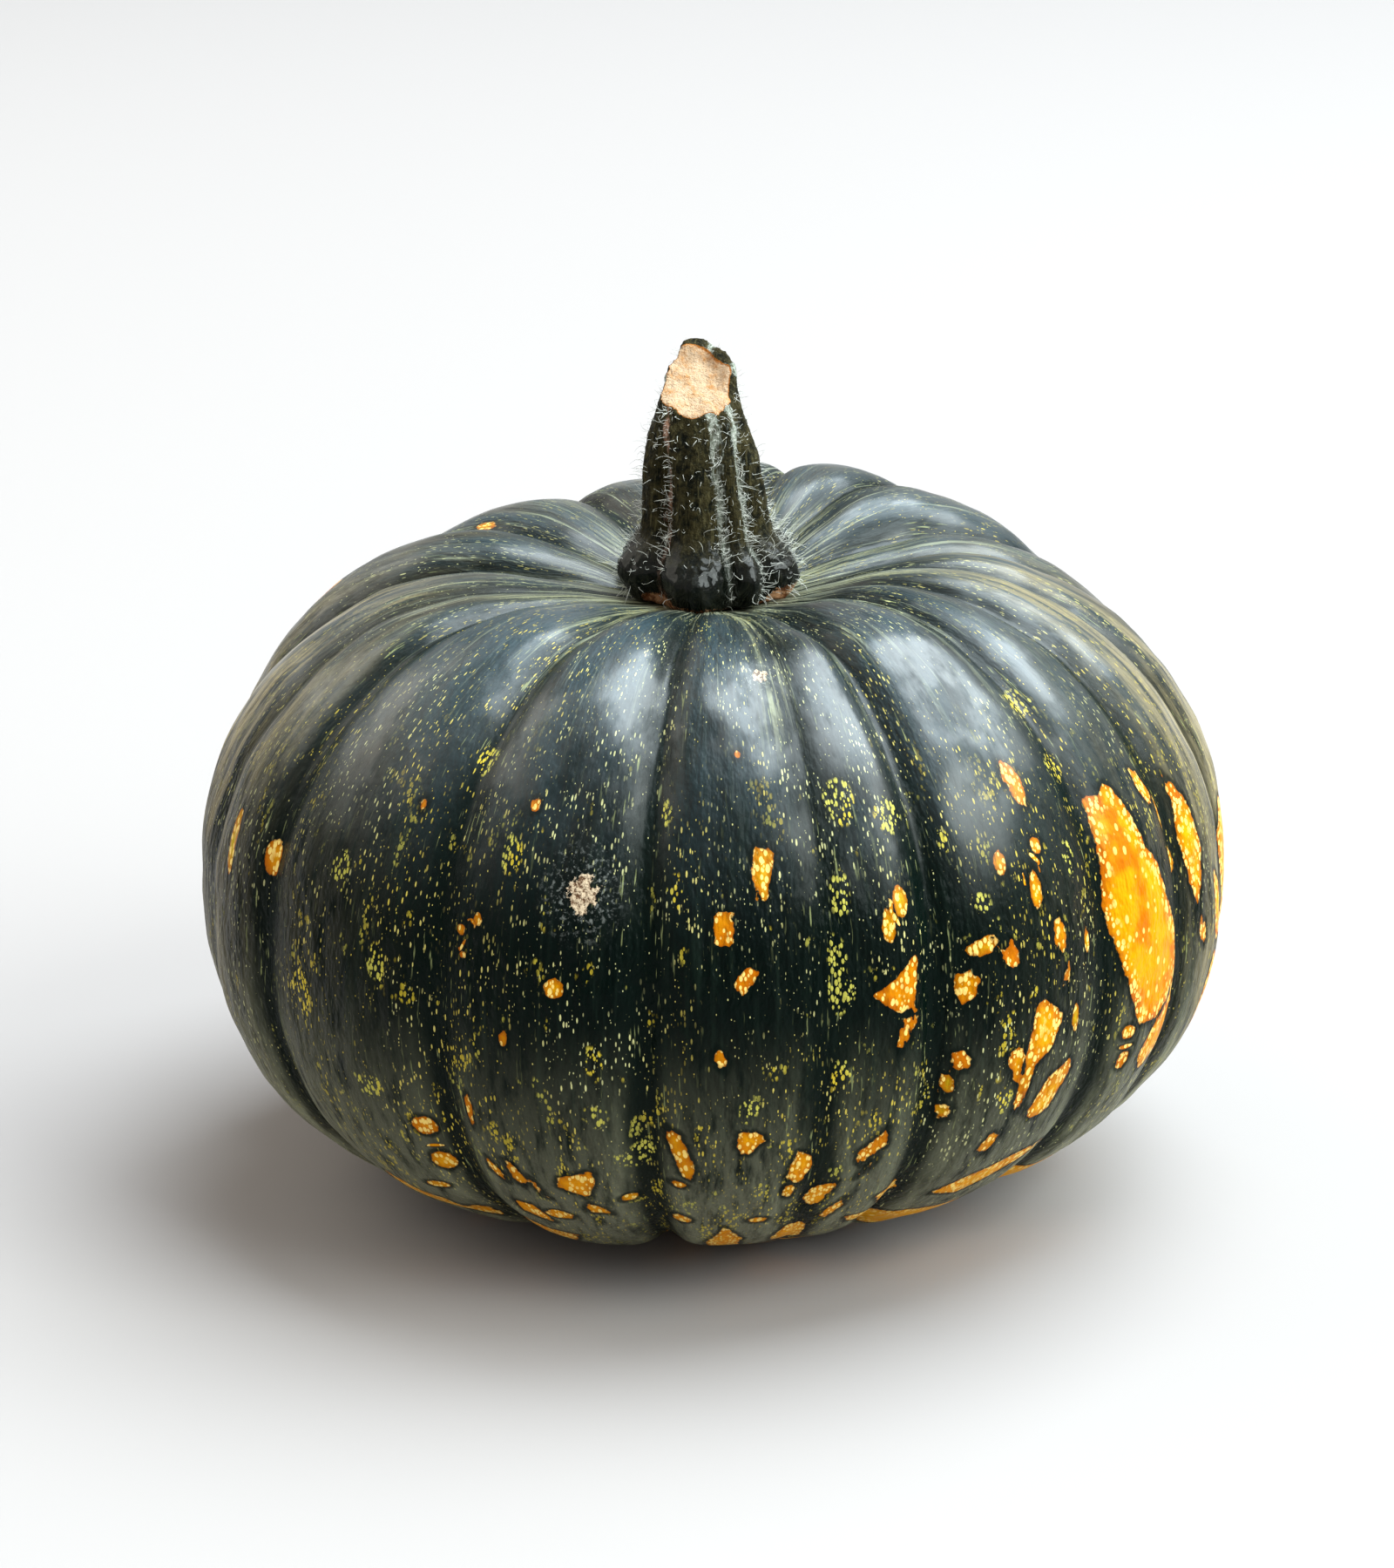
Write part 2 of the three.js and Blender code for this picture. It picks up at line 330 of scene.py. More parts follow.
# The orange flecks. Corners are (angle round, angle up) in degrees; the number before
# them says how green the fleck still is, from 0, ripe, to 1.
FLECKS = [
    (0.0, (49, 21), (51, 20), (52, 21.5), (53.5, 20.5), (55, 17), (56, 13), (58, 11), (59, 7),
     (62.5, 1.5), (62.5, -3), (57, -6.5), (53.5, -6), (52, -3), (50, 1.5), (48, 8), (48.5, 12)),
    (0.1, (62.5, -3.5), (64, -7), (61.5, -11), (57, -13), (55, -10.5), (57, -7.5)),
    (0.1, (66, 19), (68.5, 15), (69.5, 9.5), (68.5, 5), (68, 2.5), (66.5, 6), (65.5, 11),
     (66, 15)),
    (0.3, (68, 2), (69.5, 0.5), (69.5, -2), (68, -0.5)),
    (0.2, (58.5, 21.5), (60.5, 20.5), (61.5, 18), (60, 16.5), (58.5, 18.5)),
    (0.7, (62, 18.5), (63, 16), (62.5, 13), (61.5, 14.5)),
    (0.7, (63, 11.5), (64, 10.5), (64, 8), (62.5, 8.5)),
    (0.0, (73, 6), (76, 3), (76.5, -2), (74, -3), (72.5, 0)),
    (0.3, (74, -4), (78, -6), (78, -14), (73, -16), (72, -9)),
    (0.3, (37.5, 27.5), (39, 26), (39.5, 25), (39, 21.5), (37.5, 22), (37, 25)),
    (0.3, (39, 9.5), (39.5, 10), (40.5, 8.5), (40.5, 6.5), (39.5, 5.5), (38.5, 7)),
    (0.3, (40.5, 5), (41, 4), (40.5, 1.5), (39.5, 1.5)),
    (0.6, (27.5, 8.5), (31, 10), (31, 8.5), (30.5, 7.5), (28, 7.5)),
    (0.1, (33, 9), (34, 6.5), (33.5, 5.5), (32.5, 5.5), (31.5, 7)),
    (0.0, (26.5, 6), (28, 6), (29, 5), (28.5, 3), (27, 2.5), (26.5, 3.5)),
    (0.1, (22, 9), (22, 6), (21.5, 3.5), (20, 2.5), (17.5, 4.5), (17, 5), (19.5, 6.5)),
    (0.3, (22, 3), (22, 1.5), (20, -1.5), (19.5, -1), (20, 1)),
    (0.1, (26, -3), (27.5, -2.5), (28.5, -4), (28, -5), (26.5, -4.5)),
    (0.8, (25.5, -5.5), (27, -5.5), (27, -7.5), (25.5, -8)),
    (0.9, (25.5, -9.5), (27, -9), (27, -11), (25.5, -11.5)),
    (0.1, (36, 1), (37, 1.5), (40, -1), (38.5, -4.5), (36.5, -6), (35.5, -12), (34.5, -11),
     (35, -6), (35.5, -2)),
    (0.1, (32.5, -4), (34.5, -3), (35, -4.5), (34, -7.5)),
    (0.2, (42, -6.5), (42.5, -8), (40.5, -13), (37.5, -13.5), (37, -12), (39, -8)),
    (0.5, (5, 21), (7, 21), (7, 19.5), (6, 15.5), (5, 15.5), (4.5, 18.5)),
    (0.0, (0.5, 14.5), (2.5, 14.5), (2.5, 13), (2.5, 11), (0.5, 11)),
    (0.1, (4, 9), (5, 9), (5, 8), (3.5, 6), (2.5, 6.5), (2.5, 7.5)),
    (0.1, (0.5, 0.5), (1, 0.5), (2, -1), (1.5, -2), (0.5, -1)),
    (0.1, (3, -9.5), (5, -9.5), (6, -10.5), (4, -12.5), (3, -12)),
    (0.1, (-4.5, -9), (-3, -10), (-1.5, -14.5), (-2, -16.5), (-3, -16), (-4.5, -11)),
    (0.1, (9.5, -12.5), (11, -13.5), (11.5, -15), (10, -18), (8.5, -16.5)),
    (0.1, (11, -21), (12, -19), (15, -18), (13.5, -22.5), (12, -23)),
    (0.2, (19.5, -10.5), (19.5, -13), (16.5, -15.5), (16.5, -13.5)),
    (0.2, (19, -14.5), (18, -16.5), (16.5, -18)),
    (0.0, (8.5, -31.5), (10, -27.5), (13, -27.5), (13.5, -34), (9, -35)),
    (0.0, (14, -25.5), (16.5, -21.5), (16.5, -23.5), (15, -27)),
    (0.1, (20.5, -22.5), (24, -22), (25, -24.5), (22, -25)),
    (0.0, (18, -27.5), (24, -28), (25, -31), (19.5, -30)),
    (0.2, (31.5, -16), (32.5, -14), (34.5, -14), (32.5, -17.5)),
    (0.1, (29, -25), (33, -22), (38, -20), (44, -19), (41, -22), (34, -26)),
    (0.0, (-0.5, -32.5), (2, -26.5), (4.5, -30.5), (3.5, -38), (0, -37.5)),
    (0.0, (-17, -17), (-14, -16), (-13, -15.5), (-13, -17.5), (-14, -20.5), (-17.5, -18.5)),
    (0.0, (-14.5, -21.5), (-12.5, -23), (-12, -24), (-15, -23.5)),
    (0.2, (-23.5, -15.5), (-22, -16.5), (-21, -19), (-22.5, -19.5)),
    (0.1, (-26, -16), (-24.5, -17.5), (-24, -19.5), (-26, -18)),
    (0.1, (-20.5, -18), (-19, -21.5), (-20, -21)),
    (0.0, (-24.5, -23.5), (-22, -23.5), (-20, -27.5), (-24, -26)),
    (0.3, (22, -34), (30, -31), (40, -31), (52, -28), (61, -25), (62, -30), (50, -36), (38, -39),
     (26, -40)),
    (0.1, (5, -39), (12, -38), (20, -38), (22, -42), (12, -45), (6, -44)),
    (0.0, (-28, -28), (-22, -31), (-18, -31), (-20, -35), (-28, -33)),
    (0.2, (-46, -25), (-38, -28), (-36, -32), (-46, -30)),
    (0.4, (84, 6), (86, 10), (90, 7), (89, 1), (91, -6), (88, -11), (85, -9), (86, -2)),
    (0.0, (-35, -29.5), (-33, -30.5), (-33, -35), (-36.5, -31.5)),
]
# Small flecks: angle round, angle up, width and length in millimetres, and greenness.
SMALL_FLECKS = [
    (38.5, 17.5, 2.2, 2.8, 0.2), (33, 16.5, 2.2, 4.0, 0.3), (37, 13, 2.4, 6.5, 0.3),
    (20.5, 14.5, 2.6, 5.2, 0.7), (19, 12, 2.2, 5.6, 0.4), (-16, 6, 3.2, 3.2, 0.1),
    (-21.5, 0, 1.6, 2.6, 0.5), (-26.5, -9.5, 1.4, 6.0, 0.2), (-27, 10.5, 1.6, 1.8, 0.3),
    (-25, 12, 1.4, 2.2, 0.3), (-26.5, 8, 1.8, 1.4, 0.3), (-20.5, 24.5, 1.9, 2.2, 0.1),
    (3.5, 31.5, 1.1, 1.4, 0.1), (-58, 11.5, 4.0, 6.6, 0.2), (-66, 11, 3.0, 12, 0.7),
    (-35.5, 22.5, 1.1, 2.0, 0.3), (-124, 49, 2.0, 5.0, 0.2), (-33.5, -13.5, 4.2, 4.0, 0.1),
    (-33, -19, 4.2, 5.0, 0.1), (52, -6.5, 3.0, 2.6, 0.1), (52, -10, 2.8, 3.2, 0.1),
    (-19, -25, 5.0, 3.0, 0.1), (-3.5, -17.5, 2.4, 1.8, 0.3), (-3.5, -25, 3.2, 3.0, 0.2),
    (9, -19, 2.0, 3.6, 0.3), (-9.5, -21, 2.6, 2.0, 0.5), (6, -25, 3.0, 2.0, 0.2),
    (44, 6, 1.4, 4.0, 0.9), (42, -2, 1.6, 5.0, 0.9), (-36, -24, 4.0, 2.0, 0.2),
]


def fleck_reach(corners, chosen):
    """How far inside the fleck each chosen point is, in millimetres; outside is negative."""
    scale = np.radians(np.stack([out[chosen], np.interp(height[chosen], levels, pace)], 1)) * 1000
    spot = np.stack([around[chosen], height[chosen]], 1) * scale
    inside = np.zeros(len(spot), bool)
    distance = np.full(len(spot), 1e9)
    for first, second in zip(corners, corners[1:] + corners[:1]):
        a, b = np.array(first) * scale, np.array(second) * scale
        side = b - a
        share = np.clip(((spot - a) * side).sum(1) / (side ** 2).sum(1), 0, 1)
        distance = np.minimum(distance, np.hypot(*(spot - a - share[:, None] * side).T))
        spans = (a[:, 1] > spot[:, 1]) != (b[:, 1] > spot[:, 1])
        cross = a[:, 0] + (spot[:, 1] - a[:, 1]) / (side[:, 1] + 1e-12) * side[:, 0]
        inside ^= spans & (spot[:, 0] < cross)
    return np.where(inside, distance, -distance)


FAR_OUTSIDE = -9.0                             # for points that no fleck or scar is near
fleck = np.full(len(place), FAR_OUTSIDE)
greenness = np.zeros(len(place))
for tone, *corners in FLECKS:
    angles = [corner[0] for corner in corners]
    heights = [corner[1] for corner in corners]
    close = ((around > min(angles) - 8) & (around < max(angles) + 8)
             & (height > min(heights) - 8) & (height < max(heights) + 8))
    inwards = fleck_reach(corners, close)
    better = inwards > fleck[close]
    fleck[close] = np.where(better, inwards, fleck[close])
    greenness[close] = np.where(better, tone, greenness[close])
give(rind, "fleck", fleck)

# Behind and underneath, small flecks are strewn by chance, most of them low down.
STREWN_FLECKS = 230
chance = random.Random(11)
ovals = list(SMALL_FLECKS)
for _ in range(STREWN_FLECKS):
    up = 40 - 112 * chance.random() ** 0.65
    where = chance.uniform(-180, 180)
    width = chance.uniform(1.6, 4) * (2 if chance.random() < 0.2 else 1)
    length = width * chance.uniform(1.0, 2.6)
    if up < -32 or not -100 < where < 100:
        ovals.append((where, up, width, length, chance.random() ** 2 * 0.8))

# Each point keeps where it lies within the oval nearest to it: across, along, and the
# oval's size. The edge is then drawn by the finish, sharper than the mesh could.
within = np.tile([9.0, 9.0, 1.0], (len(place), 1))
oval_reach = np.full(len(place), FAR_OUTSIDE)
pace_here = np.interp(height, levels, pace)
for angle, up, width, length, tone in ovals:
    close = np.flatnonzero(np.abs(height - up) < 12)
    wide = np.radians(np.mod(around[close] - angle + 180, 360) - 180) * out[close] * 1000
    long = np.radians(height[close] - up) * pace_here[close] * 1000
    share = np.stack([wide / (width / 2), long / (length / 2)], 1)
    size = math.sqrt(width * length) / 2
    inwards = (1 - np.hypot(*share.T)) * size
    better = inwards > oval_reach[close]
    chosen = close[better]
    oval_reach[chosen] = inwards[better]
    within[chosen, :2] = share[better]
    within[chosen, 2] = size
    nearer = chosen[oval_reach[chosen] > fleck[chosen]]
    greenness[nearer] = tone
give(rind, "within", within)
give(rind, "oval", oval_reach)
give(rind, "greenness", greenness)

# Clusters of pale specks that haven't quite become flecks: angle round, angle up, width
# and length in millimetres.
CLUSTERS = [
    (15.5, 25.5, 5, 9), (21, 23.5, 5, 8), (14, 15.5, 4, 8), (13.5, 9.5, 4, 8), (13.5, 5.5, 5, 8),
    (-3.5, 16, 3.5, 7), (47.5, 33, 5, 7), (46.5, 25, 4.5, 7), (-37.5, 5.5, 4, 8),
    (-39, -9.5, 6, 5.5), (-49, -1, 7, 8), (4, -7, 3, 6), (-12, -1.5, 3.5, 6), (-12, -8, 6, 5),
    (30, 13, 4, 4), (-5, 25, 3, 6), (-22, 19, 4, 7), (-30, 29, 4, 6), (-8, -14, 5, 6),
    (14, -3, 4, 6), (33, -9, 4, 4), (-44, 14, 4, 8), (27, 20, 3, 5), (43, 15, 3, 6),
]
cluster = np.zeros(len(place))
for angle, up, width, length in CLUSTERS:
    wide = np.radians(around - angle) * out * 1000 / (width / 2)
    long = np.radians(height - up) * pace_here * 1000 / (length / 2)
    cluster = np.maximum(cluster, np.clip(1.35 - np.hypot(wide, long), 0, 1))
give(rind, "cluster", cluster)

# Pale streaks from the stem down the ribs: angle round, where it starts and ends by the
# angle up, and its width in millimetres.
STREAKS = [
    (8.5, 80, 27, 1.7), (-36, 82, 46, 1.6), (-66, 82, 40, 1.4), (-95, 80, 44, 1.5),
    (38, 82, 52, 1.3), (72, 80, 40, 1.5), (112, 80, 48, 1.6), (-140, 80, 46, 1.5),
]
streak = np.zeros(len(place))
for angle, start, end, width in STREAKS:
    bowed = around - angle + 3 * np.sin(np.radians(height * 5 + angle))
    wide = np.radians(np.mod(bowed + 180, 360) - 180) * out * 1000 / width
    streak = np.maximum(streak, np.exp(-wide ** 2) * ramp(height, end, end + 20)
                        * ramp(height, start + 6, start))
give(rind, "streak", streak)

# Towards the front the rind is left darker, which is painted shade; towards both sides it is paler
# and more mottled. At its widest towards both sides, and a little at the back left, it is tan.
give(rind, "side_mottle_front_shade", ramp(np.abs(around), 28, 72))
right_tan = ramp(gap_to([86], around), 26, 8)
left_tan = ramp(gap_to([-86], around), 32, 8)
back_tan = 0.4 * ramp(gap_to([-150], around), 26, 6)
side_tan = np.maximum.reduce([right_tan, left_tan, back_tan])
give(rind, "side_tan", side_tan * ramp(height, -60, -20))

# Two corky scars, and the one where the blossom was: angle round, angle up, width and
# length in millimetres.
SCARS = [(-13.7, 16, 4.9, 6.4), (8, 42.5, 2.6, 2.9)]
BLOSSOM_SCAR = 0.0075
scar = np.where(height < 0, 1 - out / BLOSSOM_SCAR, FAR_OUTSIDE)
for angle, up, width, length in SCARS:
    wide = np.radians(around - angle) * out * 1000 / (width / 2)
    long = np.radians(height - up) * pace_here * 1000 / (length / 2)
    scar = np.maximum(scar, 1 - np.hypot(wide, long))
give(rind, "scar", scar)


def rind_finish():
    finish = Finish("rind_finish")
    lay = finish.attribute("lay", "Vector")
    height = finish.attribute("height")
    groove = finish.attribute("groove")
    scar = finish.attribute("scar")
    near_stem = finish.step(height, 24, 66)
    in_groove = finish.step(groove, 6.5, 0.8)
    streaks = finish.noise(finish.stretched(lay, (1, 1, 0.05)), 0.0013, 2)
    patchy = finish.noise(finish.stretched(lay, (1, 1, 0.4)), 0.024, 4)
    crowd = finish.noise(finish.stretched(lay, (1, 1, 0.5)), 0.009, 3)
    ragged = finish.noise(lay, 0.002, 2)
    lines = finish.noise(finish.stretched(lay, (1, 1, 0.025)), 0.0018, 3, 0.6)
    broken = finish.noise(finish.stretched(lay, (1, 1, 0.3)), 0.004, 2)

    # Green of the rind: darkest in the grooves, which is painted shade, streaked along the ribs,
    # dusty and tan towards the sides, and paler underneath, partly as painted light where the floor
    # shades the lower rind. Towards the top a waxy bloom blues it, partly a painted sheen of the
    # light from above.
    green = finish.blend(finish.step(patchy, 0.3, 0.7), colour(0.0001, 0.0028, 0.002),
                         colour(0.003, 0.0066, 0.0048))
    green = finish.blend(finish.step(streaks, 0.5, 0.75) * 0.3, green, colour(0.014, 0.026, 0.018))
    # Painted shade at the front: this mask is 0 there and rises towards the sides, where it brings
    # real pale mottling.
    side_mottle_front_shade = finish.attribute("side_mottle_front_shade")
    mottled = finish.noise(finish.stretched(lay, (1, 1, 0.25)), 0.0022, 4, 0.65)
    low = finish.step(height, 4, -34)
    # Pale marks are kept mostly off the grooves, so that their painted shade stays dark.
    on_rib = 0.3 + finish.step(groove, 2, 9) * 0.7
    # Dust mottling, more of it towards the sides, and more low down, which is partly painted light
    # where the floor shades the lower rind.
    dusty = (side_mottle_front_shade * 0.8 + low * 0.3) * finish.step(mottled, 0.3, 0.64) * on_rib
    green = finish.blend(dusty, green, colour(0.068, 0.063, 0.042))
    # Pale mottling underneath, partly painted light where the floor shades the lower rind.
    underneath = low * (0.6 + side_mottle_front_shade * 0.4) * finish.step(mottled, 0.26, 0.56) * on_rib
    green = finish.blend(underneath, green, colour(0.27, 0.275, 0.185))
    # The bloom is partly real wax and partly a painted sheen of the light from above, paler and
    # bluer towards the top.
    bloom_and_sheen = finish.step(height, 8, 50) * finish.step(crowd + patchy, 0.65, 1.15)
    green = finish.blend(bloom_and_sheen * 0.8, green, colour(0.029, 0.056, 0.071))
    # Tan towards both sides at the widest, and a little at the back left.
    side_tan = finish.attribute("side_tan")
    tanned = finish.noise(finish.stretched(lay, (1, 1, 0.12)), 0.0032, 4, 0.65)
    patches = finish.step(patchy + broken * 0.3, 0.5, 0.75)
    tan_share = side_tan * finish.step(tanned, 0.38, 0.62) * (0.2 + patches)
    tan_share = tan_share * finish.step(height, 66, 44)
    green = finish.blend(tan_share * 0.75, green, colour(0.33, 0.27, 0.145))
    flank = finish.step(groove, 1.2, 3.2) * finish.step(groove, 8, 4.5)
    flank = flank * finish.step(broken, 0.3, 0.55)
    green = finish.blend(flank * low * (0.5 + side_mottle_front_shade * 0.4), green, colour(0.4, 0.41, 0.27))
    # Painted shade: the grooves are darkened nearly to black.
    green = finish.blend(in_groove * 0.8, green, colour(0.0012, 0.005, 0.0035))

    # Pale lines that run from the stem down the ribs and fade at the shoulder, and finer
    # broken ones beside the grooves.
    line_share = finish.step(lines, 0.59, 0.66) * near_stem * finish.step(broken, 0.3, 0.6)
    rind_colour = finish.blend(line_share * 0.75, green, colour(0.33, 0.36, 0.24))
    at_foot = finish.step(height, 60, 76) * finish.step(lines + broken * 0.3, 0.64, 0.72)
    rind_colour = finish.blend(at_foot * 0.8, rind_colour, colour(0.5, 0.52, 0.36))
    threads = finish.noise(finish.stretched(lay, (1, 1, 0.05)), 0.0011, 2, 0.6)
    streak = finish.attribute("streak")
    streak_share = streak * finish.step(threads, 0.47, 0.58) * finish.step(broken, 0.3, 0.5)
    rind_colour = finish.blend(streak_share * 0.6, rind_colour, colour(0.46, 0.47, 0.27))
    hairlines = finish.noise(finish.stretched(lay, (1, 1, 0.09)), 0.0006, 2, 0.6)
    beside = finish.step(groove, 9, 3) * finish.step(groove, 0.2, 1.0)
    dashed = finish.step(hairlines, 0.63, 0.69) * finish.step(broken, 0.44, 0.58)
    rind_colour = finish.blend(dashed * (0.12 + beside * 0.55), rind_colour,
                               colour(0.28, 0.31, 0.13))

    # Specks: fine dust everywhere, dashes where they crowd, and grains that all but fill
    # the clusters.
    cluster = finish.attribute("cluster")
    crowded = finish.step(crowd, 0.42, 0.58)
    pale = finish.blend(finish.step(patchy, 0.4, 0.6), colour(0.64, 0.63, 0.3),
                        colour(0.68, 0.53, 0.07))
    yellow = finish.blend(finish.step(crowd, 0.45, 0.6), colour(0.56, 0.52, 0.09),
                          colour(0.72, 0.55, 0.04))
    dust = finish.specks(finish.stretched(lay, (1, 1, 0.6)), 0.0006, 0.24, 0.7)
    dashes = finish.specks(finish.stretched(lay, (1, 1, 0.3)), 0.00055, 0.38, 1.0)
    grains = finish.specks(finish.stretched(lay, (1, 1, 0.55)), 0.00062, 0.62, 1.8)
    rind_colour = finish.blend(dust * 0.8, rind_colour, pale)
    rind_colour = finish.blend(dashes * crowded * (0.9 - side_mottle_front_shade * 0.3), rind_colour, pale)
    tufts = finish.noise(finish.stretched(lay, (1, 1, 0.5)), 0.0036, 2)
    strewn = finish.step(tufts + (crowd + patchy) * 0.25, 0.86, 0.93) * finish.step(height, 40, 8)
    packed = finish.step(cluster + (tufts - 0.5) * 1.2, 0.35, 0.6)
    grain_share = (packed + strewn * (0.7 - side_mottle_front_shade * 0.4)) * grains
    rind_colour = finish.blend(grain_share * 0.85, rind_colour, yellow)

    # Flecks: orange netted round cream specks, with a dark rim in the rind round about.
    within = finish.attribute("within", "Vector")
    parts = finish.node("ShaderNodeSeparateXYZ", {}, [within])
    along = Wire(finish, parts.socket.node.outputs["Y"])
    size = Wire(finish, parts.socket.node.outputs["Z"])
    from_middle = (parts ** 2 + along ** 2) ** 0.5
    oval = (1 - from_middle) * size
    oval = oval - finish.step(finish.attribute("oval"), -1.6, -2.2) * 9
    polygon = finish.attribute("fleck")
    fleck = finish.node("ShaderNodeMath", {"operation": "MAXIMUM"}, [polygon, oval])
    nibbled = finish.noise(lay, 0.0009, 2)
    edge = fleck + (ragged - 0.5) * 1.1 + (nibbled - 0.5) * 0.6
    is_fleck = finish.step(edge, -0.05, 0.07)
    greenness = finish.attribute("greenness")
    warmth = finish.noise(lay, 0.006, 3)
    cream = finish.specks(finish.stretched(lay, (1, 1, 0.6)), 0.00078, 0.64, 1.8)
    ripe = finish.blend(finish.step(warmth, 0.36, 0.62), colour(0.64, 0.16, 0.0),
                        colour(0.78, 0.32, 0.0))
    ripe = finish.blend(greenness * (0.4 + finish.step(ragged, 0.3, 0.6)), ripe,
                        colour(0.52, 0.36, 0.005))
    ripe = finish.blend(finish.step(edge, 1.8, 0.1) * 0.7, ripe, colour(0.4, 0.09, 0.0))
    # Painted light: lower down the orange is brighter, where the floor shades the underside.
    ripe = finish.blend(finish.step(height, -6, -30) * 0.5, ripe, colour(0.95, 0.4, 0.01))
    sparse = finish.specks(finish.stretched(lay, (1, 1, 0.6)), 0.0013, 0.42, 0.9)
    deep = finish.step(edge, 1.2, 3.0)
    netted = cream * (1 - deep) * 0.95 + sparse * deep * 0.7
    ripe = finish.blend(netted, ripe, colour(1.0, 0.73, 0.2))
    ripe = finish.blend(finish.step(edge, 0.35, 0.04) * 0.6, ripe, colour(0.3, 0.07, 0.0))
    halo = finish.step(edge, -1.3, -0.3)
    rind_colour = finish.blend(halo * 0.8, rind_colour, colour(0.0012, 0.0045, 0.003))
    rind_colour = finish.blend(is_fleck, rind_colour, ripe)

    # Scars: rough tan cork, pitted with brown, with pale scuffs round about.
    cork = finish.noise(lay, 0.0008, 3, 0.7)
    scuffs = finish.step(scar, -2.4, 0.0) * finish.step(cork, 0.52, 0.68)
    rind_colour = finish.blend(scuffs * 0.4, rind_colour, colour(0.42, 0.45, 0.42))
    is_scar = finish.step(scar + (ragged - 0.5) * 1.8 + (cork - 0.5) * 0.9, 0.05, 0.12)
    cork_colour = finish.blend(finish.step(cork, 0.4, 0.56), colour(0.16, 0.08, 0.04),
                               colour(0.82, 0.64, 0.44))
    rind_colour = finish.blend(is_scar, rind_colour, cork_colour)

    # The skin's own relief: a leathery grain, streaks that follow the ribs, rough scars.
    grain = finish.noise(finish.stretched(lay, (1, 1, 0.6)), 0.0009, 3, 0.6)
    leather = finish.noise(finish.stretched(lay, (1, 1, 0.5)), 0.004, 3, 0.6)
    relief = finish.bump(grain, 0.0003, 0.6)
    relief = finish.bump(streaks, 0.0005, 0.4, relief)
    relief = finish.bump(leather, 0.0024, 0.7, relief)
    relief = finish.bump(is_scar * cork, 0.0012, 1.0, relief)
    dull = finish.noise(lay, 0.004, 3)
    rubbed = finish.noise(finish.stretched(lay, (1, 1, 0.7)), 0.013, 4, 0.6)
    waxy = 0.5 + finish.step(rubbed, 0.43, 0.55) * 0.5
    finish.wear(Base_Color=rind_colour, Normal=relief,
                Roughness=0.3 + dull * 0.16 + is_scar * 0.4)
    finish.wear(Specular_IOR_Level=0.05, Coat_Roughness=0.28, Coat_IOR=1.62,
                Coat_Weight=finish.step(height, 8, 36) * waxy * (1 - in_groove * 0.55))
    return finish.material


rind.data.materials.append(rind_finish())
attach(rind, "root")
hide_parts("fruit")


# ---------------------------------------------------------------------------------------
# The stem. A dark corky stalk of seven ribs that grew with the fruit. Its ribs end in
# hard knobs on the rind. A slanting cut through it laid the pale pith bare and left a lip
# of bark at the back.

STEM_GROOVES = (-39.5, 16.7, 43, 95, 150, 210, 265)
STEM_LEAN = (-0.0036, 0.0006)                  # how far it has leant over 50 mm up
CUT_MIDDLE = (-0.0035, 0.0005, 0.1447)
CUT_FACING = (0, -0.55, 0.835)
LIP = {"angle": 142, "half_width": 85, "height": 0.0019}
SIDE_OF_VOXEL = 0.0004
# In millimetres: how wide the grooves are, how much they fill at the cut and how much they
# deepen below it, and how far the left of the cut end is pressed in.
STEM_GROOVE_WIDTH = 1.3
GROOVE_FILL_AT_CUT = 1.3
GROOVE_DEEPENING = 1.1
PRESSED = {"angle": -118, "depth": 1.9}
# Knobs: angle round the stem, height, reach, and how far each swells, in millimetres.
KNOBS = [
    (-70, 8, 5.5, 0.9), (-12, 4.5, 9, 1.6), (30, 6, 3, 0.5), (68, 6.5, 5, 0.9),
    (122, 9.5, 5, 1.4), (180, 7, 5, 0.8), (238, 8, 5, 0.9),
]

stalk = closed_copy("stem", "stalk")
add_modifier(stalk, "REMESH", mode="VOXEL", voxel_size=SIDE_OF_VOXEL)
add_modifier(stalk, "SMOOTH", factor=0.5, iterations=4)

stem_place = points_of(stalk)
rise = (stem_place[:, 2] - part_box("stem")[0].z) * 1000
bend = (np.clip(rise, 0, None) / 50)[:, None] ** 1.5 * np.array(STEM_LEAN)
across = stem_place[:, :2] - np.array(MIDDLE)[:2] - bend
stem_out = np.hypot(across[:, 0], across[:, 1]) * 1000
stem_turn = np.degrees(np.arctan2(across[:, 0], -across[:, 1]))
stem_gap = np.radians(gap_to(STEM_GROOVES, stem_turn)) * stem_out
normals = np.empty(len(stem_place) * 3)
stalk.data.vertices.foreach_get("normal", normals)
cut_side = normals.reshape(-1, 3) @ np.array(CUT_FACING)
cut_depth = (stem_place - np.array(CUT_MIDDLE)) @ np.array(CUT_FACING) * -1000
on_cut = ramp(cut_side, 0.84, 0.95) * ramp(cut_depth, 1.6, 0.8)

